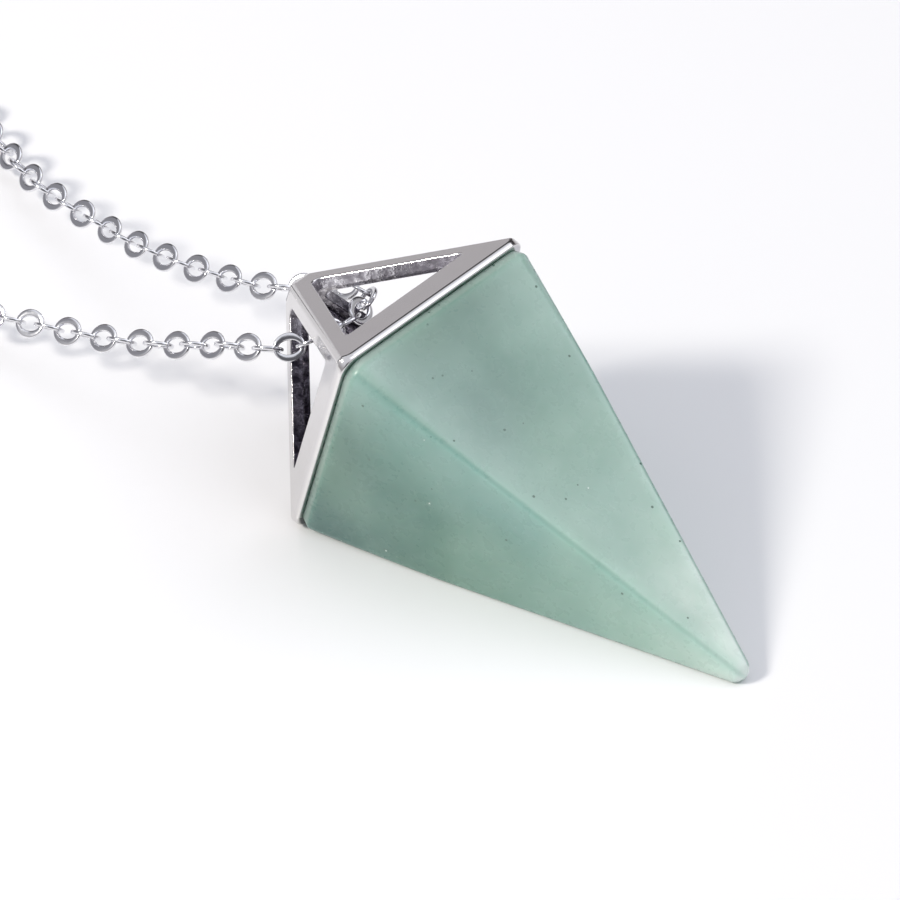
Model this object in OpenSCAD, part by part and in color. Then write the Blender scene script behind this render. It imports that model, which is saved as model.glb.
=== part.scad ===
// Crystal point pendant on its chain, lying on a table.
// A four-sided green stone point is glued under a pierced pyramid cap of cast metal,
// and a flat cable chain runs through the cap's side windows.
// Millimetres. Z is up, the table is z = 0, +X runs from the cap to the stone's tip.
// The origin is on the stone's resting face, a third of the way from its base to its tip.

/* [Stone] */
// Side of the stone's square base, before its edges are eased
stone_w = 17.8; // [14:0.1:22]
// Height from the base to the sharp tip
stone_h = 33.6; // [28:0.1:40]
// Radius of the rounded tip
tip_r = 0.7; // [0.3:0.05:0.9]
// Depth taken off the four long edges
stone_ease = 0.12; // [0.05:0.01:0.2]
// Size of the bevel round the base
shoulder = 0.7; // [0.2:0.05:0.9]

/* [Cap] */
// Height of the pyramid above the skirt, to its sharp apex
cap_h = 11.4; // [10:0.1:14]
// Height of the straight skirt under the pyramid
skirt_h = 0.5; // [0.4:0.05:0.7]
// Radius of the skirt's upright corners
corner_r = 1.2; // [0.8:0.1:1.5]
// Radius of the rounded apex
apex_r = 1.5; // [0.6:0.1:1.7]
// Depth taken off the four hips
hip_ease = 0.25; // [0.1:0.01:0.3]
// Thickness of the cage's walls
wall_t = 0.9; // [0.7:0.05:1]
// Width of the bar along the foot of each face
foot_bar = 2.45; // [2.2:0.05:3]
// Width of each face's two sloping bars
hip_bar = 1.35; // [1:0.05:1.4]
// Radius of each window's two lower corners
window_r = 0.2; // [0.1:0.05:0.3]
// Radius of each window's upper corner
window_top_r = 0.5; // [0.3:0.05:0.6]
// Thickness of the plate that the stone is glued to
plate_t = 0.8; // [0.6:0.1:1.2]
// Glue gap between the plate and the stone
glue = 0.05; // [0.03:0.01:0.1]

/* [Chain] */
// Outer length of a link
link_l = 2.33; // [2.2:0.01:2.6]
// Outer width of a link
link_w = 2.0; // [1.8:0.05:2.2]
// Thickness of the flat link
link_t = 0.22; // [0.16:0.01:0.26]
// Width of the link's metal at its two ends
link_end = 0.27; // [0.2:0.01:0.32]
// Width of the link's metal at its two sides
link_side = 0.42; // [0.3:0.01:0.5]
// Play between two links that hang in each other
link_play = 0.24; // [0.2:0.01:0.3]
// Links at each end of the chain that are one plain tube
tube_links = 32; // [30:1:40]

/* [Clasp] */
// Radius of the clasp's ring at the middle of its wire
clasp_r = 2.4; // [2.2:0.1:2.8]
// Radius of the clasp's wire
clasp_wire_r = 0.7; // [0.6:0.05:0.75]
// Radius of an eyelet at the middle of its wire
eyelet_r = 0.8; // [0.75:0.05:0.9]
// Radius of an eyelet's wire
eyelet_wire_r = 0.25; // [0.2:0.01:0.28]

/* [Hidden] */

silver = [0.78, 0.77, 0.76];
green = [0.53, 0.68, 0.62];

// Steps in each rounded corner of an outline
arc_steps = 8;
// Steps round a link's ends and round the clasp's wire
link_fn = 24;
// Steps round the clasp's rings
ring_fn = 48;
// Length by which a cut runs past what it cuts
past = 1;

// Lie of the pendant: the stone's lower face is flat on the table
half_w = stone_w / 2;
tilt = atan(half_w / stone_h);
face_l = norm([half_w, stone_h]);
base_x = half_w * sin(tilt) - face_l / 3;
base_z = half_w * cos(tilt);
cap_top = skirt_h + cap_h;

// Route of the chain, from one eyelet of the clasp round by the front and back to the other
route = [
    [-214.0, -4.2, 0.8], [-211.5, -13.0, 0.8], [-204.0, -24.0, 0.8], [-191.0, -34.5, 0.8],
    [-174.0, -41.5, 0.8], [-154.0, -45.5, 0.8], [-134.0, -42.5, 0.8], [-115.0, -37.6, 0.8],
    [-97.3, -29.4, 0.8], [-80.6, -22.3, 0.8], [-66.7, -16.8, 0.8], [-55.7, -13.1, 1.0],
    [-46.6, -10.4, 1.7], [-40.9, -8.9, 2.4], [-37.2, -8.0, 3.1], [-34.0, -7.4, 3.8],
    [-31.1, -7.0, 4.6], [-28.0, -6.5, 5.6], [-25.3, -5.9, 6.6], [-22.7, -5.4, 7.8],
    [-20.2, -5.0, 8.9], [-18.1, -4.5, 9.5], [-16.6, -3.3, 9.9], [-15.8, -1.5, 10.1],
    [-15.6, 0.3, 10.2], [-15.7, 2.0, 10.1], [-16.4, 3.6, 9.9], [-17.9, 4.4, 9.5],
    [-19.5, 4.1, 8.9], [-21.2, 3.2, 8.4], [-23.1, 2.3, 7.8], [-25.4, 1.8, 7.1],
    [-28.5, 1.7, 6.2], [-31.5, 1.7, 5.4], [-34.6, 1.9, 4.6], [-37.7, 2.3, 3.8],
    [-41.4, 3.0, 3.0], [-44.5, 3.4, 2.5], [-48.3, 4.3, 1.9], [-53.9, 6.4, 1.2],
    [-62.0, 9.6, 0.85], [-74.0, 14.4, 0.8], [-88.5, 20.9, 0.8], [-105.0, 28.0, 0.8],
    [-123.0, 34.6, 0.8], [-142.0, 39.0, 0.8], [-161.0, 40.0, 0.8], [-179.0, 36.6, 0.8],
    [-194.0, 28.5, 0.8], [-205.0, 18.5, 0.8], [-211.8, 8.5, 0.8], [-214.0, 4.2, 0.8],
];
// Points worked out between two points of the route
route_steps = 10;
// Turn of the links about the chain, one way and the other by turns
link_roll = 45;
// Sides of the tube, and about how many links there are from ring to ring
tube_sides = 8;
tube_ring_links = 2;
// Radius of the tube: it touches the table where the turned links do
tube_r = (link_w + link_t) / 2 * sin(link_roll);
// Gap between a tube's end and the link or eyelet beyond it
tube_gap = 0.15;
// Distance from the clasp's middle, at y = 0, to an eyelet's middle
clasp_reach = clasp_r + clasp_wire_r + eyelet_r - eyelet_wire_r;

function unit(v) = v / norm(v);

// Catmull-Rom curve through b and c, a share f of the way from b to c
function spline(a, b, c, d, f) =
    0.5 * (2 * b + (c - a) * f + (2 * a - 5 * b + 4 * c - d) * f ^ 2 + (3 * b - a - 3 * c + d) * f ^ 3);

// Points along the route, with the end points repeated beyond its two ends
last = len(route) - 1;
trail = [
    for (i = [0 : last - 1], j = [0 : route_steps - 1])
        spline(route[max(i - 1, 0)], route[i], route[i + 1], route[min(i + 2, last)], j / route_steps),
    route[last],
];
// Length of the trail up to each of its points
trail_end = len(trail) - 1;
mileage = [
    for (i = 0, s = 0; i <= trail_end; s = s + norm(trail[min(i + 1, trail_end)] - trail[i]), i = i + 1) s,
];
trail_l = mileage[trail_end];
trail_x = [for (i = [0 : trail_end]) [mileage[i], trail[i].x]];
trail_y = [for (i = [0 : trail_end]) [mileage[i], trail[i].y]];
trail_z = [for (i = [0 : trail_end]) [mileage[i], trail[i].z]];

// Point of the route at length s along it
function along(s) = [lookup(s, trail_x), lookup(s, trail_y), lookup(s, trail_z)];

// The nearest whole number of links fills the route
pitch = link_l - 2 * link_end - link_play;
link_count = round(trail_l / pitch);
link_step = trail_l / link_count;

// Points of an arc round centre c
function arc(c, r, from, to) = [
    for (i = [0 : arc_steps])
        let (turn = from + (to - from) * i / arc_steps) c + r * [cos(turn), sin(turn)],
];

// Outline of a pyramid of half width w and height h above y = 0, with its peak rounded to
// radius r: the end of a prism that makes two of the pyramid's faces
function peak_outline(w, h, r) =
    let (lean = atan(w / h), centre_y = h - r / sin(lean))
    concat([[-w, 0], [w, 0]], arc([0, centre_y], r, lean, 180 - lean));

// Prism of that outline, with its peak up and its faces towards +X and -X
module peak_prism(w, h, r, span) {
    rotate([90, 0, 0])
        linear_extrude(height = 2 * span, center = true)
            polygon(peak_outline(w, h, r));
}

// Four-sided pyramid with a rounded peak and its four hips eased by a narrow flat
module eased_pyramid(w, h, r, ease) {
    diagonal = w * sqrt(2) - ease;
    intersection() {
        peak_prism(w, h, r, w + past);
        rotate([0, 0, 90]) peak_prism(w, h, r, w + past);
        rotate([0, 0, 45]) peak_prism(diagonal, h * diagonal / (w * sqrt(2)), r, 2 * w);
        rotate([0, 0, -45]) peak_prism(diagonal, h * diagonal / (w * sqrt(2)), r, 2 * w);
    }
}

// Places what is modelled about the pendant's own axis: base plane at z = 0, cap up, stone down
module lay_down() {
    translate([base_x, 0, base_z]) rotate([0, tilt - 90, 0]) children();
}

// Stone with its base at z = 0 and its tip down
module stone_body() {
    intersection() {
        mirror([0, 0, 1]) eased_pyramid(half_w, stone_h, tip_r, stone_ease);
        translate([0, 0, -stone_h]) shoulder_prism();
        rotate([0, 0, 90]) translate([0, 0, -stone_h]) shoulder_prism();
    }
}

// Prism wider than the stone, with two of the base's edges bevelled at 45 degrees
module shoulder_prism() {
    rotate([90, 0, 0])
        linear_extrude(height = 2 * stone_w, center = true)
            polygon([
                [-stone_w, 0], [stone_w, 0], [stone_w, stone_h - stone_w + half_w - shoulder],
                [half_w - shoulder, stone_h], [shoulder - half_w, stone_h],
                [-stone_w, stone_h - stone_w + half_w - shoulder],
            ]);
}

module stone() {
    color(green) lay_down() stone_body();
}

module cap() {
    color(silver) lay_down() cap_body();
}

// Square of half width w with round corners
function round_square(w, r) = concat(
    arc([w - r, w - r], r, 0, 90), arc([r - w, w - r], r, 90, 180),
    arc([r - w, r - w], r, 180, 270), arc([w - r, r - w], r, 270, 360));

// One casting: plate, skirt and the pierced pyramid
module cap_body() {
    slope_l = norm([half_w, cap_h]);
    slope = atan(half_w / cap_h);
    inner_w = half_w - wall_t / cos(slope);
    inner_h = inner_w * cap_h / half_w;
    difference() {
        intersection() {
            union() {
                translate([0, 0, skirt_h]) eased_pyramid(half_w, cap_h, apex_r, hip_ease);
                translate([0, 0, skirt_h / 2 + glue / 2]) cube([stone_w, stone_w, skirt_h - glue], center = true);
            }
            linear_extrude(height = cap_top) polygon(round_square(half_w, corner_r));
        }
        difference() {
            translate([0, 0, skirt_h]) intersection() {
                peak_prism(inner_w, inner_h, window_top_r, half_w);
                rotate([0, 0, 90]) peak_prism(inner_w, inner_h, window_top_r, half_w);
            }
            translate([0, 0, plate_t / 2]) cube([stone_w, stone_w, plate_t], center = true);
        }
        for (turn = [0 : 90 : 270])
            rotate([0, 0, turn])
                translate([half_w, 0, skirt_h])
                    rotate([0, -slope, 0])
                        rotate([90, 0, 90])
                            translate([0, 0, -wall_t - past / 2])
                                linear_extrude(height = wall_t + past)
                                    polygon(window_outline(slope_l));
    }
}

// Window in a face of the cage: x across the face, y up it from the skirt
function window_outline(slope_l) =
    let (lean = atan(half_w / slope_l),
         top_y = slope_l - hip_bar / sin(lean),
         side = (top_y - foot_bar) * tan(lean),
         // Distance from a corner to its arc's centre, along the corner's bisector
         base_turn = (90 - lean) / 2,
         inset = window_r / tan(base_turn))
    concat(
        arc([side - inset, foot_bar + window_r], window_r, -90, lean),
        arc([0, top_y - window_top_r / sin(lean)], window_top_r, lean, 180 - lean),
        arc([inset - side, foot_bar + window_r], window_r, 180 - lean, 270));

// Outline with straight sides and round ends
module slot_outline(l, w) {
    for (end = [-1, 1]) translate([end * (l - w) / 2, 0]) circle(d = w, $fn = link_fn);
    square([l - w, w], center = true);
}

// Flat link along X
module link() {
    linear_extrude(height = link_t, center = true)
        difference() {
            slot_outline(link_l, link_w);
            slot_outline(link_l - 2 * link_end, link_w - 2 * link_side);
        }
}

// Link number i of the chain, laid from its start on the route to the next link's
module placed_link(i) {
    from = along(i * link_step);
    to = along((i + 1) * link_step);
    run = unit(to - from);
    translate((from + to) / 2)
        rotate([i % 2 == 0 ? link_roll : -link_roll, -asin(run.z), atan2(run.y, run.x)])
            link();
}

module chain_front() {
    color(silver)
        for (i = [tube_links : link_count - tube_links - 1]) placed_link(i);
}

// Ring of the tube at length s along the route
function tube_ring(s) =
    let (run = unit(along(s + pitch / 4) - along(s - pitch / 4)),
         side = unit(cross(run, [0, 0, 1])),
         rise = cross(side, run))
    [for (i = [0 : tube_sides - 1])
        along(s) + tube_r / cos(180 / tube_sides)
            * (cos((i + 0.5) * 360 / tube_sides) * side + sin((i + 0.5) * 360 / tube_sides) * rise)];

// Tube over the route from length from to length to
module tube(from, to) {
    rings = ceil((to - from) / (pitch * tube_ring_links));
    points = [for (i = [0 : rings]) each tube_ring(from + (to - from) * i / rings)];
    walls = [for (i = [0 : rings - 1], j = [0 : tube_sides - 1])
        [i * tube_sides + j, i * tube_sides + (j + 1) % tube_sides,
         (i + 1) * tube_sides + (j + 1) % tube_sides, (i + 1) * tube_sides + j]];
    start = [for (j = [tube_sides - 1 : -1 : 0]) j];
    finish = [for (j = [0 : tube_sides - 1]) rings * tube_sides + j];
    polyhedron(points, concat([start], walls, [finish]));
}

module chain_back() {
    eyelet_end = clasp_reach + eyelet_r + eyelet_wire_r - route[last].y;
    links_end = tube_links * link_step - (link_l - link_step) / 2;
    color(silver) {
        tube(eyelet_end + tube_gap, links_end - tube_gap);
        tube(trail_l - links_end + tube_gap, trail_l - eyelet_end - tube_gap);
    }
}

module wire_ring(r, wire_r) {
    rotate_extrude($fn = ring_fn) translate([r, 0]) circle(r = wire_r, $fn = link_fn);
}

// Plain spring ring with an eyelet fused at each side, flat on the table
module clasp() {
    color(silver) translate([route[0].x, 0, clasp_wire_r]) {
        wire_ring(clasp_r, clasp_wire_r);
        for (end = [-1, 1]) translate([0, end * clasp_reach, 0]) wire_ring(eyelet_r, eyelet_wire_r);
    }
}

stone();
cap();
chain_front();
chain_back();
clasp();
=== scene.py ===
# %% [markdown]
# # A crystal point pendant on its chain
#
# The pendant is a long four-sided point of milky green aventurine, glued under a pierced pyramid
# of polished, plated metal. A flat cable chain runs through the windows of the metal cap, and
# everything lies on a glossy white table. The construction comes ready made, as solids at their
# real size. This script gives each of them the surface that a camera would see.

# %% Load the frame
import math

import bmesh
import bpy
import numpy as np
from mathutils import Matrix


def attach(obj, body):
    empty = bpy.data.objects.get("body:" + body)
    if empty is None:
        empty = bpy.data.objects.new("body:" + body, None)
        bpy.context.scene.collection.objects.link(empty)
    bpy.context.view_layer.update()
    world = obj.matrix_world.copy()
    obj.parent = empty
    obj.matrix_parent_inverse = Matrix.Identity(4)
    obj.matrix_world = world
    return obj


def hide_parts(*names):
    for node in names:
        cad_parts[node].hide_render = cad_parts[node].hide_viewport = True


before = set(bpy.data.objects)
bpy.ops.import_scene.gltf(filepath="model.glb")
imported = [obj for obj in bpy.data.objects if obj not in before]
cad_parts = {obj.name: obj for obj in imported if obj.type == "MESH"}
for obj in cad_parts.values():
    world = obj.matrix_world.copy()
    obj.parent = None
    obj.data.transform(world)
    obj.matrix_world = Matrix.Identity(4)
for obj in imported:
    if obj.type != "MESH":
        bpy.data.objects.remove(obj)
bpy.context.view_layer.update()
MM = 0.001
print("solids:", sorted(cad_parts))

# %% [markdown]
# ## Small helpers
#
# Colours are picked from a screen, so they are sRGB, but shaders add and multiply light, which
# needs linear values. One function undoes the sRGB curve. A second adds any kind of shader node
# and wires it up in the same call, so that a material reads as a short list.

# %% Colour and node helpers


def linear(hex_colour):
    """Linear RGBA of an sRGB hex colour: the sRGB curve undone channel by channel."""
    value = np.array([int(hex_colour[i : i + 2], 16) for i in (1, 3, 5)]) / 255
    channels = np.where(value <= 0.04045, value / 12.92, ((value + 0.055) / 1.055) ** 2.4)
    return (*channels, 1.0)


def add(tree, kind, sockets=None, **settings):
    """Adds a shader node, sets its properties, then links or fills the sockets that are given.
    A hex colour becomes linear on the way in."""
    node = tree.nodes.new("ShaderNode" + kind)
    for name, value in settings.items():
        setattr(node, name, value)
    for name, value in (sockets or {}).items():
        if isinstance(value, bpy.types.NodeSocket):
            tree.links.new(value, node.inputs[name])
        else:
            node.inputs[name].default_value = linear(value) if isinstance(value, str) else value
    return node


def new_material(name):
    """An empty material, its node tree and its Principled shader, already joined to the output."""
    material = bpy.data.materials.new(name)
    material.use_nodes = True
    tree = material.node_tree
    tree.nodes.clear()
    shader = add(tree, "BsdfPrincipled")
    add(tree, "OutputMaterial", {"Surface": shader.outputs["BSDF"]})
    return material, tree, shader


print(f"half of white on the screen is {linear('#808080')[0]:.2f} of its light")

# %% [markdown]
# ## Surfaces from grids
#
# A ring, a pointed stone and a torus are all sheets of points whose edges are sewn together.
# A helper turns a block of points, shaped copies x rows x columns x 3, into one mesh. Whole
# arrays are worked out at once, so three hundred links cost no more code than one.

# %% Mesh helper


def grid_quads(rows, columns, wrap_rows):
    """Corner numbers of the quads between neighbours on a grid whose columns always wrap."""
    row = np.arange(rows if wrap_rows else rows - 1)[:, None]
    column = np.arange(columns)[None, :]
    below, right = (row + 1) % rows, (column + 1) % columns
    corners = (
        row * columns + column,
        row * columns + right,
        below * columns + right,
        below * columns + column,
    )
    return np.stack(corners, axis=-1).reshape(-1, 4)


def mesh_from_grids(name, points, wrap_rows=True):
    """One smooth mesh from points shaped (copies, rows, columns, 3), each copy a closed grid."""
    copies, rows, columns, _ = points.shape
    quads = grid_quads(rows, columns, wrap_rows)
    quads = (quads[None] + np.arange(copies)[:, None, None] * rows * columns).reshape(-1, 4)
    mesh = bpy.data.meshes.new(name)
    mesh.vertices.add(copies * rows * columns)
    mesh.vertices.foreach_set("co", points.astype(np.float32).ravel())
    mesh.loops.add(quads.size)
    mesh.loops.foreach_set("vertex_index", quads.astype(np.int32).ravel())
    mesh.polygons.add(len(quads))
    mesh.polygons.foreach_set("loop_start", np.arange(0, quads.size, 4, dtype=np.int32))
    mesh.polygons.foreach_set("use_smooth", np.ones(len(quads), dtype=bool))
    mesh.update(calc_edges=True)
    mesh.validate()
    return mesh


def place(name, mesh, slot, *nodes):
    """Puts a mesh in the scene as a piece that rides on the part and stands for CAD nodes."""
    piece = bpy.data.objects.new(name, mesh)
    bpy.context.scene.collection.objects.link(piece)
    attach(piece, "root")
    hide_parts(*nodes)
    print(f"{name}: {len(mesh.vertices)} points, {len(mesh.polygons)} faces")
    return piece


print(f"a ring of 32 by 12 points has {len(grid_quads(32, 12, True))} quads")

# %% [markdown]
# ## The camera
#
# The photograph is taken from 41 degrees above the table and 42.5 degrees round to the right.
# The pendant shows no perspective, so the lens is long and far away. The camera stands back from
# the point of the object that is in the middle of the picture.

# %% Camera
CAMERA_TURN = math.radians(42.5)
CAMERA_RISE = math.radians(40.7)
CAMERA_DISTANCE = 1.5
VIEW_WIDTH = 60.4 * MM
PICTURE_MIDDLE = np.array([-7.23, 1.69, 3.03]) * MM

towards_camera = np.array([
    math.sin(CAMERA_TURN) * math.cos(CAMERA_RISE),
    -math.cos(CAMERA_TURN) * math.cos(CAMERA_RISE),
    math.sin(CAMERA_RISE),
])
camera = bpy.data.objects.new("camera", bpy.data.cameras.new("camera"))
camera.data.lens = camera.data.sensor_width * CAMERA_DISTANCE / VIEW_WIDTH
camera.location = PICTURE_MIDDLE + CAMERA_DISTANCE * towards_camera
camera.rotation_euler = (math.pi / 2 - CAMERA_RISE, 0, CAMERA_TURN)
bpy.context.scene.collection.objects.link(camera)
bpy.context.scene.camera = camera
print(f"lens {camera.data.lens:.0f} mm")

# %% [markdown]
# ## Where the pendant lies
#
# Stone and cap are easiest to describe about their own axis, with the glued joint at height 0,
# the cap above and the stone below. One lower face of the stone is flat on the table, so the
# axis leans by the angle of that face. The origin is a third of the way along that face, from
# the edge of its base to its tip.

# %% The pendant's own axes
STONE_WIDTH = 17.8
STONE_LENGTH = 33.6
HALF = STONE_WIDTH / 2
lean = math.atan2(HALF, STONE_LENGTH)
face_length = math.hypot(HALF, STONE_LENGTH)
side_x = np.array([math.sin(lean), 0.0, math.cos(lean)])
side_y = np.array([0.0, 1.0, 0.0])
cap_axis = np.array([-math.cos(lean), 0.0, math.sin(lean)])
BASE_EDGE_X = -face_length / 3
joint_middle = np.array([HALF * math.sin(lean) + BASE_EDGE_X, 0.0, HALF * math.cos(lean)])


def lay_down(points):
    """Takes points in mm about the pendant's own axis to metres on the table."""
    return (joint_middle + points @ np.stack([side_x, side_y, cap_axis])) * MM


print("tip at", lay_down(np.array([0.0, 0.0, -STONE_LENGTH])).round(4))

# %% [markdown]
# ## The stone
#
# A lapidary grinds four flat faces to a point, then the tumbling and polishing wheel takes the
# edges off. A bevelled pyramid would do, but its round edges should grow out of the flat faces
# without a seam, because a polished edge shows as one long thin highlight. So the surface is a
# side profile, from the middle of the base over its bevel and down to the tip, swept round a
# square with round corners. The corners are rounder at the base, where the wheel takes off most.

# %% Stone surface
EDGE_RADIUS = 0.42
TIP_RADIUS = 0.78
BEVEL_IN = 0.35
BEVEL_DROP = 0.65
BEVEL_RADIUS = 0.7
BASE_RADIUS = 0.08
BASE_RINGS = (0.35, 0.7)
CORNER_WEAR = 0.9
CORNER_WEAR_REACH = 10.0
CORNER_WEAR_POWER = 1.2
POLE_RADIUS = 0.001
SIDE_STEPS = 10
CORNER_STEPS = 8
BASE_STEPS = 5
BEVEL_STEPS = 7
FACE_STEPS = 42
TIP_STEPS = 12


def round_square(side_steps, corner_steps):
    """A square of half width 1 and the outward normals there, as two (n, 2) arrays.

    A square of half width w with corners of radius r is (w - r) times the first plus r times the
    second: the sides run along the square, and each corner turns the normal by a quarter."""
    along = np.linspace(-1, 1, side_steps + 1)
    turn = np.linspace(0, math.pi / 2, corner_steps + 1)[1:-1]
    side = np.stack([np.ones_like(along), along], axis=1)
    corner = np.ones((len(turn), 2))
    spots = np.concatenate([side, corner])
    normals = np.concatenate([
        np.tile([1.0, 0.0], (len(along), 1)),
        np.stack([np.cos(turn), np.sin(turn)], axis=1),
    ])
    quarter = np.array([[0.0, 1.0], [-1.0, 0.0]])
    turns = [np.linalg.matrix_power(quarter, k) for k in range(4)]
    return np.concatenate([spots @ t for t in turns]), np.concatenate([normals @ t for t in turns])


def rounded(corner, radius, start, end, steps):
    """Arc that rounds a corner of a profile.

    The outward normal turns from start to end, in radians. The centre lies inwards on their
    bisector, at the radius over the cosine of half the turn, so the arc touches both sides."""
    middle = (start + end) / 2
    inwards = radius / math.cos((start - end) / 2) * np.array([math.cos(middle), math.sin(middle)])
    turn = np.linspace(start, end, steps)
    return np.array(corner) - inwards + radius * np.stack([np.cos(turn), np.sin(turn)], axis=1)


def stone_profile():
    """Half width and height of the stone from the base's middle to the tip, as an (n, 2) array.

    The face leans in by the lean angle. A narrow bevel goes from the base to the face, and the
    tip is half of the arc that rounds the corner between two faces."""
    face_at_bevel = HALF - BEVEL_DROP * math.tan(lean)
    bevel_turn = math.atan2(BEVEL_IN - BEVEL_DROP * math.tan(lean), BEVEL_DROP)
    top = rounded((HALF - BEVEL_IN, 0.0), BASE_RADIUS, math.pi / 2, bevel_turn, BASE_STEPS)
    foot = rounded((face_at_bevel, -BEVEL_DROP), BEVEL_RADIUS, bevel_turn, -lean, BEVEL_STEPS)
    whole_tip_steps = 2 * TIP_STEPS - 1
    tip = rounded((0.0, -STONE_LENGTH), TIP_RADIUS, -lean, lean - math.pi, whole_tip_steps)
    tip = tip[:TIP_STEPS]
    share = np.linspace(0, 1, FACE_STEPS)[1:-1, None]
    face = foot[-1] * (1 - share) + tip[0] * share
    base = np.array([[POLE_RADIUS, 0.0], *([ring * HALF, 0.0] for ring in BASE_RINGS)])
    tip[-1, 0] = POLE_RADIUS
    return np.concatenate([base, top, foot, face, tip])


profile = stone_profile()
spots, normals = round_square(SIDE_STEPS, CORNER_STEPS)
width = profile[:, 0, None, None]
height = profile[:, 1, None, None]
worn = np.clip(1 + height / CORNER_WEAR_REACH, 0, 1) ** CORNER_WEAR_POWER
corner_radius = np.minimum(EDGE_RADIUS + CORNER_WEAR * worn, width)
outline = (width - corner_radius) * spots + corner_radius * normals
height = np.broadcast_to(height, (*outline.shape[:2], 1))
stone_points = np.concatenate([outline, height], axis=2)
stone_mesh = mesh_from_grids("stone_point", lay_down(stone_points)[None], wrap_rows=False)
place("stone_point", stone_mesh, "stone", "stone")

# %% Close the stone's two ends
POLE_MERGE = 0.005


def close_ends(mesh):
    """Merges the rings of points at a grid's poles and turns every face outwards."""
    work = bmesh.new()
    work.from_mesh(mesh)
    bmesh.ops.remove_doubles(work, verts=work.verts, dist=POLE_MERGE * MM)
    bmesh.ops.recalc_face_normals(work, faces=work.faces)
    open_edges = sum(edge.is_boundary for edge in work.edges)
    work.to_mesh(mesh)
    work.free()
    print(f"{mesh.name}: {open_edges} open edges")


close_ends(stone_mesh)

# %% [markdown]
# ## Patterns
#
# The finishes here are made of three things: soft patches of some size in millimetres, small
# dots, and a surface that isn't quite flat. Each is a few nodes on the object's own coordinates,
# so the pattern stays put when the view moves.

# %% Patterns for the materials


def patches(tree, where, size_mm, low, high, to_low=0.0, to_high=1.0, detail=3.0):
    """Soft patches about size_mm across: noise, whose range from low to high is stretched to run
    from to_low to to_high, and held there."""
    noise = add(tree, "TexNoise", {"Vector": where, "Scale": 1 / (size_mm * MM), "Detail": detail})
    return add(tree, "MapRange", {
        "Value": noise.outputs["Fac"], "From Min": low, "From Max": high,
        "To Min": to_low, "To Max": to_high,
    }).outputs["Result"]


def dots(tree, where, spacing_mm, radius_mm, share):
    """Small round dots, 1 inside and 0 outside: cells of a Voronoi pattern about spacing_mm
    apart, of which only a share, picked by the cell's random colour, keeps its dot."""
    cells = add(tree, "TexVoronoi", {"Vector": where, "Scale": 1 / (spacing_mm * MM)})
    near = add(tree, "Math", {0: cells.outputs["Distance"], 1: radius_mm / spacing_mm},
               operation="LESS_THAN").outputs[0]
    pick = add(tree, "SeparateColor", {"Color": cells.outputs["Color"]}).outputs[0]
    kept = add(tree, "Math", {0: pick, 1: share}, operation="LESS_THAN").outputs[0]
    return add(tree, "Math", {0: near, 1: kept}, operation="MULTIPLY").outputs[0]


def uneven(tree, shader, where, size_mm, depth_mm, detail=2.0):
    """Tilts the shader's normals as on a slightly wavy surface: noise as the height of a Bump."""
    noise = add(tree, "TexNoise", {"Vector": where, "Scale": 1 / (size_mm * MM), "Detail": detail})
    bump = add(tree, "Bump", {"Height": noise.outputs["Fac"], "Distance": depth_mm * MM})
    tree.links.new(bump.outputs["Normal"], shader.inputs["Normal"])


print("patterns: patches, dots and an uneven surface")

# %% [markdown]
# ## Milky green aventurine
#
# Aventurine is quartz coloured by tiny flakes of green mica, and this milky kind is cloudy all
# through. Light goes in, scatters for a few millimetres and comes out again, which softens the
# faces. The Principled shader's subsurface scattering does that. The colour runs from darkest at
# one corner of the base, by the table, to nearly white at the tip. That is partly the stone's own
# uneven mica and partly painted light: painted shade low by the base and the painted glow of the
# thin tip. The front face and the face on the table are painted darker all along, as painted
# shade where less light falls than on the top. So the colour follows a point's distance from that
# corner, and its place on the stone gives the rest: a painted highlight paler towards the edges,
# painted light paler by the ridge, painted shade darker in the middle of the faces near the base,
# and a faint painted dark line of shade along each edge, stronger along the far one.

# %% Where in the stone a point is, in mm
LEAST_HALF_WIDTH = 0.3
stone_material, tree, shader = new_material("polished_aventurine")
where = add(tree, "TexCoord").outputs["Object"]
offsets = []
for axis in (side_x, side_y, cap_axis):
    dot = add(tree, "VectorMath", {0: where, 1: tuple(axis / MM)}, operation="DOT_PRODUCT")
    shift = {0: dot.outputs["Value"], 1: -float(axis @ joint_middle)}
    offsets.append(add(tree, "Math", shift, operation="ADD").outputs[0])
line = {0: offsets[2], 1: HALF / STONE_LENGTH, 2: HALF}
taper = add(tree, "Math", line, operation="MULTIPLY_ADD").outputs[0]
half_width = add(tree, "Math", {0: taper, 1: LEAST_HALF_WIDTH}, operation="MAXIMUM").outputs[0]
across = [
    add(tree, "Math", {0: offset, 1: half_width}, operation="DIVIDE").outputs[0]
    for offset in offsets[:2]
]
sides = [add(tree, "Math", {0: share}, operation="ABSOLUTE").outputs[0] for share in across]
by_edge = add(tree, "Math", {0: sides[0], 1: sides[1]}, operation="MINIMUM").outputs[0]
from_edge = add(tree, "Math", {0: sides[0], 1: sides[1]}, operation="SUBTRACT").outputs[0]
from_edge = add(tree, "Math", {0: from_edge}, operation="ABSOLUTE").outputs[0]
from_edge = add(tree, "Math", {0: from_edge, 1: half_width}, operation="MULTIPLY").outputs[0]
to_ridge = add(tree, "Math", {0: across[0], 1: across[1]}, operation="SUBTRACT").outputs[0]
over_ridge = add(tree, "Math", {0: offsets[0], 1: offsets[1]}, operation="ADD").outputs[0]
print(f"stone: {len(tree.nodes)} nodes tell where a point is")

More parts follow.
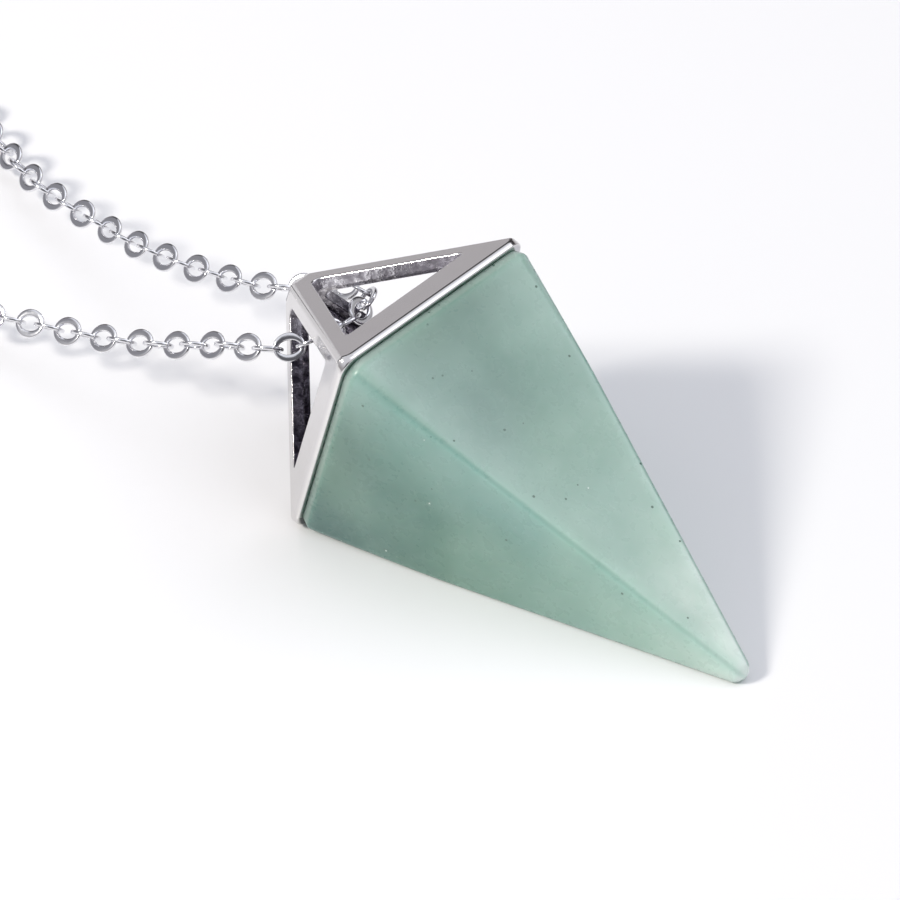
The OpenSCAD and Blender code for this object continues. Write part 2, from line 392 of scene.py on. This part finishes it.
# %% Parts of the stone, as shares from 0 outside to 1 inside
OUT_OF_REACH = 5.0
near_base, mid_face, by_ridge, on_shaded_face, off_top = [
    add(tree, "MapRange", {"Value": value, "From Min": none, "From Max": full}).outputs[0]
    for value, none, full in (
        (offsets[2], -5.0, -1.5),
        (by_edge, 1.0, 0.25),
        (to_ridge, 1.0, 1.8),
        (over_ridge, 0.3, -0.05),
        (over_ridge, 1.0, 0.0),
    )
]
mid_base, ridge_base = [
    add(tree, "Math", {0: near_base, 1: share}, operation="MULTIPLY").outputs[0]
    for share in (mid_face, by_ridge)
]
# Only the far edge of the top face has a strong painted dark line, and a painted highlight
# inside it, so for all else it is put out of reach.
push = {0: off_top, 1: OUT_OF_REACH, 2: from_edge}
far_edge = add(tree, "Math", push, operation="MULTIPLY_ADD").outputs[0]
print(f"stone: {len(tree.nodes)} nodes with the parts of its faces")

# %% Colours by distance from the dark corner
RAMP_REACH = 40
WANDER = 0.03
# The first ramp, for the front face and the face on the table, is darker: painted shade, as those
# faces get less light than the top.
SHADED_FACE_COLOURS = {4: "#496e6b", 12: "#648a7f", 20: "#82a69e", 28: "#b0cec4", 33: "#e4f4ee"}
BODY_COLOURS = {17: "#68867e", 20: "#84a498", 23: "#9dbaaf", 26: "#b3ccc0", 33: "#ecf6f1"}

# Both ramps run from dark by this base corner, on the table, to nearly white at the tip: partly the
# stone's own colour, partly painted shade low by the base and the painted glow of the thin tip.
dark_corner = lay_down(np.array([-HALF, -HALF, 0.0]))
distance = add(tree, "VectorMath", {0: where, 1: tuple(dark_corner)}, operation="DISTANCE")
wander = patches(tree, where, 9.0, 0.3, 0.7, -WANDER, WANDER, detail=2.0)
share = {0: distance.outputs["Value"], 1: 1 / (RAMP_REACH * MM), 2: wander}
along_ramp = add(tree, "Math", share, operation="MULTIPLY_ADD").outputs[0]
ramps = []
# Both ramps turn paler towards the ridge between the top and the front: painted light, for the
# light from the top face that shines through the thin stone there.
for stops, most, tint in ((SHADED_FACE_COLOURS, 0.4, "#93bbb5"), (BODY_COLOURS, 0.6, "#acc7be")):
    ramp = add(tree, "ValToRGB", {"Fac": along_ramp})
    while len(ramp.color_ramp.elements) < len(stops):
        ramp.color_ramp.elements.new(1.0)
    for element, (millimetres, colour) in zip(ramp.color_ramp.elements, stops.items()):
        element.position = millimetres / RAMP_REACH
        element.color = linear(colour)
    share = add(tree, "Math", {0: by_ridge, 1: most}, operation="MULTIPLY").outputs[0]
    ramp = add(tree, "Mix", {0: share, 6: ramp.outputs["Color"], 7: tint}, data_type="RGBA")
    ramps.append(ramp.outputs[2])
shaded_face, body = ramps
print(f"dark corner at {dark_corner.round(4)}")

# %% Tints over the stone's colour
# Each row gives what a tint follows, where it starts, where it is full, how strong it is there,
# and its colour. Flakes and pits are finer in the real stone, and are drawn as small as shows.
# The front face and the face on the table take the darker ramp: painted shade.
colour = add(tree, "Mix", {0: on_shaded_face, 6: body, 7: shaded_face}, data_type="RGBA").outputs[2]
for value, start, full, most, tint in (
    # Paler towards the edges: a painted highlight along their rounding.
    (by_edge, 0.5, 1.0, 0.07, "#cfe0d9"),
    # Darker in the middle of the faces near the base: painted shade.
    (mid_base, 0.0, 1.0, 0.62, "#4e6f65"),
    # Paler by the ridge near the base: painted light, shining through from the top face.
    (ridge_base, 0.3, 1.0, 0.22, "#b4cac3"),
    (patches(tree, where, 11.0, 0.45, 0.62, detail=1.5), 0.0, 1.0, 0.25, "#86a992"),
    (patches(tree, where, 5.0, 0.4, 0.75), 0.0, 1.0, 0.2, "#b4ccc2"),
    (patches(tree, where, 2.0, 0.3, 0.7, detail=2.0), 0.0, 1.0, 0.14, "#6f978a"),
    # A pale band just inside the far edge: a painted highlight on its rounding.
    (far_edge, 0.9, 0.5, 0.1, "#dcebe6"),
    # A faint dark line on every edge and a strong one on the far edge: painted shade.
    (from_edge, 0.30, 0.10, 0.13, "#587c72"),
    (far_edge, 0.4, 0.22, 0.5, "#64877f"),
    # A darker band on the bevel under the cap's skirt: painted shade from the cap.
    (offsets[2], -0.95, -0.7, 0.25, "#66907f"),
    # Paler still just below the joint: painted light that lifts the shade in the groove.
    (offsets[2], -0.65, -0.45, 0.3, "#b9c4bd"),
    (dots(tree, where, 1.7, 0.07, 0.3), 0.0, 1.0, 1.0, "#eef6f0"),
    (dots(tree, where, 1.25, 0.1, 0.5), 0.0, 1.0, 1.0, "#4b6a5e"),
):
    span = {"Value": value, "From Min": start, "From Max": full, "To Max": most}
    share = add(tree, "MapRange", span).outputs["Result"]
    colour = add(tree, "Mix", {0: share, 6: colour, 7: tint}, data_type="RGBA").outputs[2]
tree.links.new(colour, shader.inputs["Base Color"])
print(f"stone: {len(tree.nodes)} nodes with its colours")

# %% Polish and scattering of the stone
# A tumbled polish is fine but not glassy: highlights on it are soft, and not even in gloss.
shader.inputs["Subsurface Weight"].default_value = 0.9
shader.inputs["Subsurface Radius"].default_value = (0.85, 1.0, 0.95)
shader.inputs["Subsurface Scale"].default_value = 2.0 * MM
shader.inputs["IOR"].default_value = 1.54
tree.links.new(patches(tree, where, 0.8, 0.3, 0.7, 0.24, 0.34), shader.inputs["Roughness"])
uneven(tree, shader, where, 1.6, 0.01)
stone_mesh.materials.append(stone_material)
print(f"{stone_material.name}: {len(tree.nodes)} nodes")

# %% [markdown]
# ## The cap
#
# The cap is one casting: a wax pyramid with four windows is cast in zinc alloy, its outside is
# ground and polished, and the whole is plated with rhodium. Its shape is already right, so the
# piece is a copy of the solid whose triangles are merged back into whole faces. A Bevel modifier
# then rounds every sharp edge, as the polishing wheel does.

# %% Cap shape
CAP_HEIGHT = 11.4
SKIRT_HEIGHT = 0.5
CAP_EDGE = 0.12
CAP_MERGE = 0.001
FLAT_WITHIN = math.radians(0.5)
ROUND_OVER = math.radians(28)


def merged_copy(node, name):
    """A copy of a node's mesh with its points merged and its flat triangles joined to faces."""
    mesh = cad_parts[node].data.copy()
    mesh.name = name
    work = bmesh.new()
    work.from_mesh(mesh)
    bmesh.ops.remove_doubles(work, verts=work.verts, dist=CAP_MERGE * MM)
    bmesh.ops.dissolve_limit(work, angle_limit=FLAT_WITHIN, verts=work.verts, edges=work.edges)
    for face in work.faces:
        face.smooth = True
    work.to_mesh(mesh)
    work.free()
    mesh.materials.clear()
    return mesh


cap_mesh = merged_copy("cap", "cap_cage")
cap = place("cap_cage", cap_mesh, "cap", "cap")
round_edges = cap.modifiers.new("polished_edges", "BEVEL")
round_edges.width = CAP_EDGE * MM
round_edges.segments = 3
round_edges.limit_method = "ANGLE"
round_edges.angle_limit = ROUND_OVER
round_edges.use_clamp_overlap = False
round_edges.harden_normals = True
even_normals = cap.modifiers.new("even_normals", "WEIGHTED_NORMAL")
even_normals.keep_sharp = True

# %% [markdown]
# ## Polished outside, cast inside
#
# The wheel only reaches the outside. The walls of the windows and the hollow behind them keep
# the dull, pitted skin of the casting under the plating, and are painted darker low down, as
# painted shade in the hollow. Which faces are which follows from where they are: a polished face
# lies on the outer pyramid, on the skirt or at the apex.

# %% Polished metal of the cap
# Buffed plating mirrors its surroundings, a little blurred, in slow waves left by the wheel.
cap_material, tree, shader = new_material("polished_rhodium_plate")
where = add(tree, "TexCoord").outputs["Object"]
shader.inputs["Base Color"].default_value = linear("#dcdada")
shader.inputs["Metallic"].default_value = 1.0
tree.links.new(patches(tree, where, 1.5, 0.3, 0.7, 0.07, 0.16), shader.inputs["Roughness"])
uneven(tree, shader, where, 2.5, 0.012)
cap_mesh.materials.append(cap_material)
print(f"{cap_material.name}: {len(tree.nodes)} nodes")

# %% Cast metal inside the cap
# A casting's skin glitters in grains of a tenth of a millimetre. They are drawn at 0.6 mm,
# because finer ones blur to a plain grey in the picture.
CAST_GRAIN = 0.6
DARK_BELOW = 9.5
BRIGHT_ABOVE = 11.5
cast_material, tree, shader = new_material("as_cast_rhodium_plate")
where = add(tree, "TexCoord").outputs["Object"]
grain = patches(tree, where, CAST_GRAIN, 0.4, 0.6, detail=4.0)
gloss = patches(tree, where, CAST_GRAIN, 0.3, 0.7, 0.4, 0.15, detail=4.0)
height = add(tree, "SeparateXYZ", {"Vector": where}).outputs["Z"]
# Lower down, inside the hollow of the cap, the metal is painted darker: painted shade.
span = {"Value": height, "From Min": BRIGHT_ABOVE * MM, "From Max": DARK_BELOW * MM}
low_down = add(tree, "MapRange", span).outputs["Result"]
dull = add(tree, "Mix", {0: low_down, 6: "#bfbbc2", 7: "#38343e"}, data_type="RGBA").outputs[2]
bright = add(tree, "Mix", {0: low_down, 6: "#f8f6fa", 7: "#8c8892"}, data_type="RGBA").outputs[2]
colour = add(tree, "Mix", {0: grain, 6: dull, 7: bright}, data_type="RGBA").outputs[2]
tree.links.new(colour, shader.inputs["Base Color"])
shader.inputs["Metallic"].default_value = 1.0
tree.links.new(gloss, shader.inputs["Roughness"])
uneven(tree, shader, where, CAST_GRAIN, 0.10, detail=4.0)
cap_mesh.materials.append(cast_material)
print(f"{cast_material.name}: {len(tree.nodes)} nodes")

# %% Which faces are polished
OUTSIDE_WITHIN = 0.2
SKIRT_WITHIN = 0.01
APEX_FROM = 9.8
cap_slope = math.atan2(HALF, CAP_HEIGHT)
face_count = len(cap_mesh.polygons)
middles = np.empty(face_count * 3, dtype=np.float32)
cap_mesh.polygons.foreach_get("center", middles)
local = (middles.reshape(-1, 3) / MM - joint_middle) @ np.stack([side_x, side_y, cap_axis]).T
reach = np.abs(local[:, :2]).max(axis=1)
above_skirt = local[:, 2] - SKIRT_HEIGHT
depth = (HALF - reach) * math.cos(cap_slope) - above_skirt * math.sin(cap_slope)
polished = (depth < OUTSIDE_WITHIN) | (above_skirt < SKIRT_WITHIN) | (above_skirt > APEX_FROM)
cap_mesh.polygons.foreach_set("material_index", np.where(polished, 0, 1).astype(np.int32))
print(f"cap: {polished.sum()} polished faces of {face_count}")

# %% [markdown]
# ## The chain
#
# A flat cable chain is wire links, closed one through the next and pressed flat, so each is a
# small flat ring turned a quarter from its neighbours. The chain's route is the one that the
# construction uses, with its points in millimetres. The rings keep its even spacing, and
# are placed all at once from arrays of middles and directions.

# %% Route of the chain
ROUTE = np.array([
    [-214.0, -4.2, 0.8], [-211.5, -13.0, 0.8], [-204.0, -24.0, 0.8], [-191.0, -34.5, 0.8],
    [-174.0, -41.5, 0.8], [-154.0, -45.5, 0.8], [-134.0, -42.5, 0.8], [-115.0, -37.6, 0.8],
    [-97.3, -29.4, 0.8], [-80.6, -22.3, 0.8], [-66.7, -16.8, 0.8], [-55.7, -13.1, 1.0],
    [-46.6, -10.4, 1.7], [-40.9, -8.9, 2.4], [-37.2, -8.0, 3.1], [-34.0, -7.4, 3.8],
    [-31.1, -7.0, 4.6], [-28.0, -6.5, 5.6], [-25.3, -5.9, 6.6], [-22.7, -5.4, 7.8],
    [-20.2, -5.0, 8.9], [-18.1, -4.5, 9.5], [-16.6, -3.3, 9.9], [-15.8, -1.5, 10.1],
    [-15.6, 0.3, 10.2], [-15.7, 2.0, 10.1], [-16.4, 3.6, 9.9], [-17.9, 4.4, 9.5],
    [-19.5, 4.1, 8.9], [-21.2, 3.2, 8.4], [-23.1, 2.3, 7.8], [-25.4, 1.8, 7.1],
    [-28.5, 1.7, 6.2], [-31.5, 1.7, 5.4], [-34.6, 1.9, 4.6], [-37.7, 2.3, 3.8],
    [-41.4, 3.0, 3.0], [-44.5, 3.4, 2.5], [-48.3, 4.3, 1.9], [-53.9, 6.4, 1.2],
    [-62.0, 9.6, 0.85], [-74.0, 14.4, 0.8], [-88.5, 20.9, 0.8], [-105.0, 28.0, 0.8],
    [-123.0, 34.6, 0.8], [-142.0, 39.0, 0.8], [-161.0, 40.0, 0.8], [-179.0, 36.6, 0.8],
    [-194.0, 28.5, 0.8], [-205.0, 18.5, 0.8], [-211.8, 8.5, 0.8], [-214.0, 4.2, 0.8],
])
ROUTE_STEPS = 10
LINK_PITCH = 1.55


def smooth_route(points, steps):
    """Catmull-Rom curve through the points: a cubic on each stretch from four neighbours."""
    padded = np.concatenate([points[:1], points, points[-1:]])
    a, b, c, d = (padded[k : len(points) - 1 + k, None] for k in range(4))
    f = (np.arange(steps) / steps)[None, :, None]
    curve = 0.5 * (2 * b + (c - a) * f + (2 * a - 5 * b + 4 * c - d) * f**2
                   + (3 * b - a - 3 * c + d) * f**3)
    return np.concatenate([curve.reshape(-1, 3), points[-1:]])


trail = smooth_route(ROUTE, ROUTE_STEPS)
mileage = np.concatenate([[0], np.cumsum(np.linalg.norm(np.diff(trail, axis=0), axis=1))])
link_count = round(mileage[-1] / LINK_PITCH)
stations = np.linspace(0, mileage[-1], link_count + 1)
joints = np.stack([np.interp(stations, mileage, trail[:, k]) for k in range(3)], axis=1)
print(f"chain: {mileage[-1]:.1f} mm, {link_count} links")

# %% [markdown]
# Each link is a ring with an oval hole. Two numbers place a point on it: one runs round the
# ring, the other round the wire's pressed section, which is a cushion, flat with soft edges.
# Links that the camera sees close by get finer grids than the hundreds further off.

# %% Link surface
LINK_LENGTH = 2.22
LINK_WIDTH = 2.0
LINK_THICKNESS = 0.26
HOLE_LENGTH = 1.54
HOLE_WIDTH = 0.98
LINK_ROLL = math.radians(45)
SECTION_POWER = 0.5


def soft(value):
    """A cosine or sine made squarer: its size raised to a power below 1, its sign kept."""
    return np.sign(value) * np.abs(value) ** SECTION_POWER


def link_grid(ring_steps, wire_steps):
    """Points of one link about its middle, in mm, shaped (ring_steps, wire_steps, 3).

    Round the ring, the outer and inner edges are ellipses. Round the wire, a squared cosine goes
    from the inner to the outer edge and a squared sine from the lower to the upper side."""
    round_ring = (np.arange(ring_steps) * 2 * math.pi / ring_steps)[:, None]
    round_wire = (np.arange(wire_steps) + 0.5) * 2 * math.pi / wire_steps
    outwards = (1 + soft(np.cos(round_wire))) / 2
    length = HOLE_LENGTH + (LINK_LENGTH - HOLE_LENGTH) * outwards
    width = HOLE_WIDTH + (LINK_WIDTH - HOLE_WIDTH) * outwards
    x = length / 2 * np.cos(round_ring)
    y = width / 2 * np.sin(round_ring)
    z = np.broadcast_to(LINK_THICKNESS / 2 * soft(np.sin(round_wire)), x.shape)
    return np.stack([x, y, z], axis=2)


def links(numbers, ring_steps, wire_steps):
    """The links with these numbers, in metres, shaped (links, ring_steps, wire_steps, 3).

    A link lies along the chord of its stretch of the route. Its face starts level and rolls
    about the chord by 45 degrees, to one side for even numbers and the other for odd ones."""
    start, end = joints[numbers], joints[numbers + 1]
    run = (end - start) / np.linalg.norm(end - start, axis=1, keepdims=True)
    level = np.cross([0.0, 0.0, 1.0], run)
    level /= np.linalg.norm(level, axis=1, keepdims=True)
    upright = np.cross(run, level)
    roll = np.where(numbers % 2 == 0, LINK_ROLL, -LINK_ROLL)[:, None]
    across = np.cos(roll) * level + np.sin(roll) * upright
    face = np.cross(run, across)
    axes = np.stack([run, across, face], axis=1)
    shape = link_grid(ring_steps, wire_steps).reshape(-1, 3)
    points = ((start + end) / 2)[:, None] + shape @ axes
    return points.reshape(len(numbers), ring_steps, wire_steps, 3) * MM


print("first link's middle, in metres:", links(np.array([0]), 32, 12).mean(axis=(0, 1, 2)).round(4))

# %% [markdown]
# The solids hold the links round the pendant one by one, and the stretches on each side of the
# clasp as plain tubes. Both stretches are dressed with the same links here.

# %% Chain pieces
TUBE_LINKS = 32
CLOSE_UP_X = -62.0
FINE_GRID = (32, 12)
COARSE_GRID = (12, 6)

all_links = np.arange(link_count)
front_links = all_links[TUBE_LINKS : link_count - TUBE_LINKS]
back_links = np.setdiff1d(all_links, front_links)
close_links = front_links[joints[front_links, 0] > CLOSE_UP_X]
far_links = np.setdiff1d(front_links, close_links)

close_mesh = mesh_from_grids("chain_by_the_pendant", links(close_links, *FINE_GRID))
far_mesh = mesh_from_grids("chain_front_links", links(far_links, *COARSE_GRID))
back_mesh = mesh_from_grids("chain_back_links", links(back_links, *COARSE_GRID))
place("chain_by_the_pendant", close_mesh, "chain", "chain_front")
place("chain_front_links", far_mesh, "chain", "chain_front")
place("chain_back_links", back_mesh, "chain", "chain_back")

# %% [markdown]
# ## The clasp
#
# The clasp is out of the picture, so it is a plain spring ring with an eyelet at each side. A
# torus is the simplest surface of two parameters: a circle carried round a circle.

# %% Clasp
CLASP_X = ROUTE[0, 0]
CLASP_RADIUS = 2.4
CLASP_WIRE = 0.7
EYELET_RADIUS = 0.8
EYELET_WIRE = 0.25


def torus(radius, wire, y, ring_steps=72, wire_steps=20):
    """Points of a torus flat on the table, its middle at CLASP_X and y."""
    ring = (np.arange(ring_steps) * 2 * math.pi / ring_steps)[:, None]
    tube = np.arange(wire_steps) * 2 * math.pi / wire_steps
    out = radius + wire * np.cos(tube)
    points = np.stack([
        CLASP_X + out * np.cos(ring),
        y + out * np.sin(ring),
        np.broadcast_to(CLASP_WIRE + wire * np.sin(tube), (ring_steps, wire_steps)),
    ], axis=2)
    return points * MM


eyelet_y = CLASP_RADIUS + CLASP_WIRE + EYELET_RADIUS - EYELET_WIRE
clasp_points = np.stack([
    torus(CLASP_RADIUS, CLASP_WIRE, 0.0),
    torus(EYELET_RADIUS, EYELET_WIRE, eyelet_y),
    torus(EYELET_RADIUS, EYELET_WIRE, -eyelet_y),
])
clasp_mesh = mesh_from_grids("clasp_ring", clasp_points)
place("clasp_ring", clasp_mesh, "clasp", "clasp")

# %% [markdown]
# ## Plated wire
#
# Links and clasp are brass wire, tumbled until it is bright and then plated with rhodium. Each
# link is too small to show its own scratches, so low waves in its surface and a gloss that isn't
# quite even are what breaks up its highlights.

# %% Chain and clasp material
chain_material, tree, shader = new_material("polished_rhodium_links")
where = add(tree, "TexCoord").outputs["Object"]
shader.inputs["Base Color"].default_value = linear("#e9e9ec")
shader.inputs["Metallic"].default_value = 1.0
tree.links.new(patches(tree, where, 0.9, 0.3, 0.7, 0.06, 0.16), shader.inputs["Roughness"])
uneven(tree, shader, where, 0.7, 0.01)
for mesh in (close_mesh, far_mesh, back_mesh, clasp_mesh):
    mesh.materials.append(chain_material)
    work = bmesh.new()
    work.from_mesh(mesh)
    bmesh.ops.recalc_face_normals(work, faces=work.faces)
    work.to_mesh(mesh)
    work.free()
print(f"{chain_material.name}: {len(tree.nodes)} nodes")

# %% [markdown]
# ## Table and light
#
# The studio is a glossy white table in a white tent. Polished metal shows its surroundings, so
# they matter more than the lamp. The cap's upper face mirrors a grey horizon behind the table,
# its skirt mirrors the bright ceiling, and the round edge between them passes over the dark gap
# from one to the other. The links mirror a grey board at the left and the tent's darker side
# round the camera, which draw their grey arcs. A bright window stands high up at the right. A
# world shader paints all of this by direction.

# %% Table
TABLE_REACH = 4.0
table_grid = np.array([[-1, -1, 0], [1, -1, 0], [1, 1, 0], [-1, 1, 0]]) * TABLE_REACH
table_mesh = bpy.data.meshes.new("table")
table_mesh.from_pydata(table_grid.tolist(), [], [(0, 1, 2, 3)])
table = bpy.data.objects.new("table", table_mesh)
bpy.context.scene.collection.objects.link(table)

# Lacquered board: plain white, with faint blurred reflections of what lies on it.
table_material, tree, shader = new_material("white_gloss_table")
shader.inputs["Base Color"].default_value = linear("#f3f3f5")
shader.inputs["Roughness"].default_value = 0.22
shader.inputs["Specular IOR Level"].default_value = 0.35
table_mesh.materials.append(table_material)
print(f"table: {2 * TABLE_REACH:.0f} m square")

# %% Sky
HORIZON = 0.25
CEILING = 0.75
SKY_STRENGTH = 0.91
WINDOW_STRENGTH = 1.5
world = bpy.data.worlds.new("studio")
bpy.context.scene.world = world
world.use_nodes = True
tree = world.node_tree
tree.nodes.clear()
way = add(tree, "TexCoord").outputs["Generated"]
rise = add(tree, "SeparateXYZ", {"Vector": way}).outputs["Z"]
level_way = add(tree, "VectorMath", {0: way, 1: (1.0, 1.0, 0.0)}, operation="MULTIPLY").outputs[0]
level_way = add(tree, "VectorMath", {0: level_way}, operation="NORMALIZE").outputs[0]


def patch_of_sky(degrees, reach, low, high, edge=0.04):
    """1 inside a patch of sky and 0 outside, with soft edges. The patch is centred on a bearing,
    in degrees to the right of the camera, reaches some degrees to each side, and lies between
    two heights, given as the sine of the angle above the table."""
    bearing = CAMERA_TURN + math.radians(degrees)
    aim = (math.sin(bearing), -math.cos(bearing), 0.0)
    facing = add(tree, "VectorMath", {0: level_way, 1: aim}, operation="DOT_PRODUCT")
    border = math.cos(math.radians(reach))
    share = 1.0
    for value, outside, inside in (
        (facing.outputs["Value"], border - edge, border + edge),
        (rise, low - edge, low + edge),
        (rise, high + edge, high - edge),
    ):
        span = {"Value": value, "From Min": outside, "From Max": inside}
        fade = add(tree, "MapRange", span).outputs["Result"]
        share = add(tree, "Math", {0: share, 1: fade}, operation="MULTIPLY").outputs[0]
    return share


sky = add(tree, "MapRange", {"Value": rise, "From Min": HORIZON, "From Max": CEILING}).outputs[0]
sky = add(tree, "Mix", {0: sky, 6: "#b4b2b4", 7: "#f2f4fb"}, data_type="RGBA").outputs[2]
# The horizon behind, the dark gap over it, the board at the left, and the camera's side.
for bearing, reach, low, high, colour in (
    (180, 62, -0.20, 0.20, "#cac7ca"),
    (180, 62, 0.20, 0.66, "#4c4a4c"),
    (-104, 22, 0.02, 0.62, "#96969c"),
    (0, 28, 0.15, 0.80, "#646469"),
):
    share = patch_of_sky(bearing, reach, low, high)
    sky = add(tree, "Mix", {0: share, 6: sky, 7: colour}, data_type="RGBA").outputs[2]
window = patch_of_sky(109, 38, 0.55, 0.95, edge=0.12)
light = {0: window, 1: WINDOW_STRENGTH, 2: SKY_STRENGTH}
strength = add(tree, "Math", light, operation="MULTIPLY_ADD").outputs[0]
background = add(tree, "Background", {"Color": sky, "Strength": strength})
add(tree, "OutputWorld", {"Surface": background.outputs["Background"]})
print(f"sky: {len(tree.nodes)} nodes")

# %% [markdown]
# One small softbox at the left gives the chain and the pendant their soft shadows. The rest of
# the light is the tent's.

# %% Lamp


def turn_back_along(direction):
    """Turn that points a lamp's -Z axis back along a direction from the pendant."""
    flat = math.hypot(direction[0], direction[1])
    return (math.atan2(flat, direction[2]), 0, math.atan2(direction[0], -direction[1]))


def softbox(name, direction, distance, size, watts, colour):
    """A square area lamp at a distance along a direction, turned to face the pendant."""
    lamp = bpy.data.objects.new(name, bpy.data.lights.new(name, "AREA"))
    lamp.data.size = size
    lamp.data.energy = watts
    lamp.data.color = linear(colour)[:3]
    direction = np.array(direction) / np.linalg.norm(direction)
    lamp.location = direction * distance
    lamp.rotation_euler = turn_back_along(direction)
    bpy.context.scene.collection.objects.link(lamp)
    print(f"{name}: {watts} W, {size} m square")


softbox("key", (-0.32, -0.68, 0.66), distance=0.9, size=0.17, watts=5.4, colour="#fffaf0")
bpy.context.scene.view_settings.view_transform = "Standard"
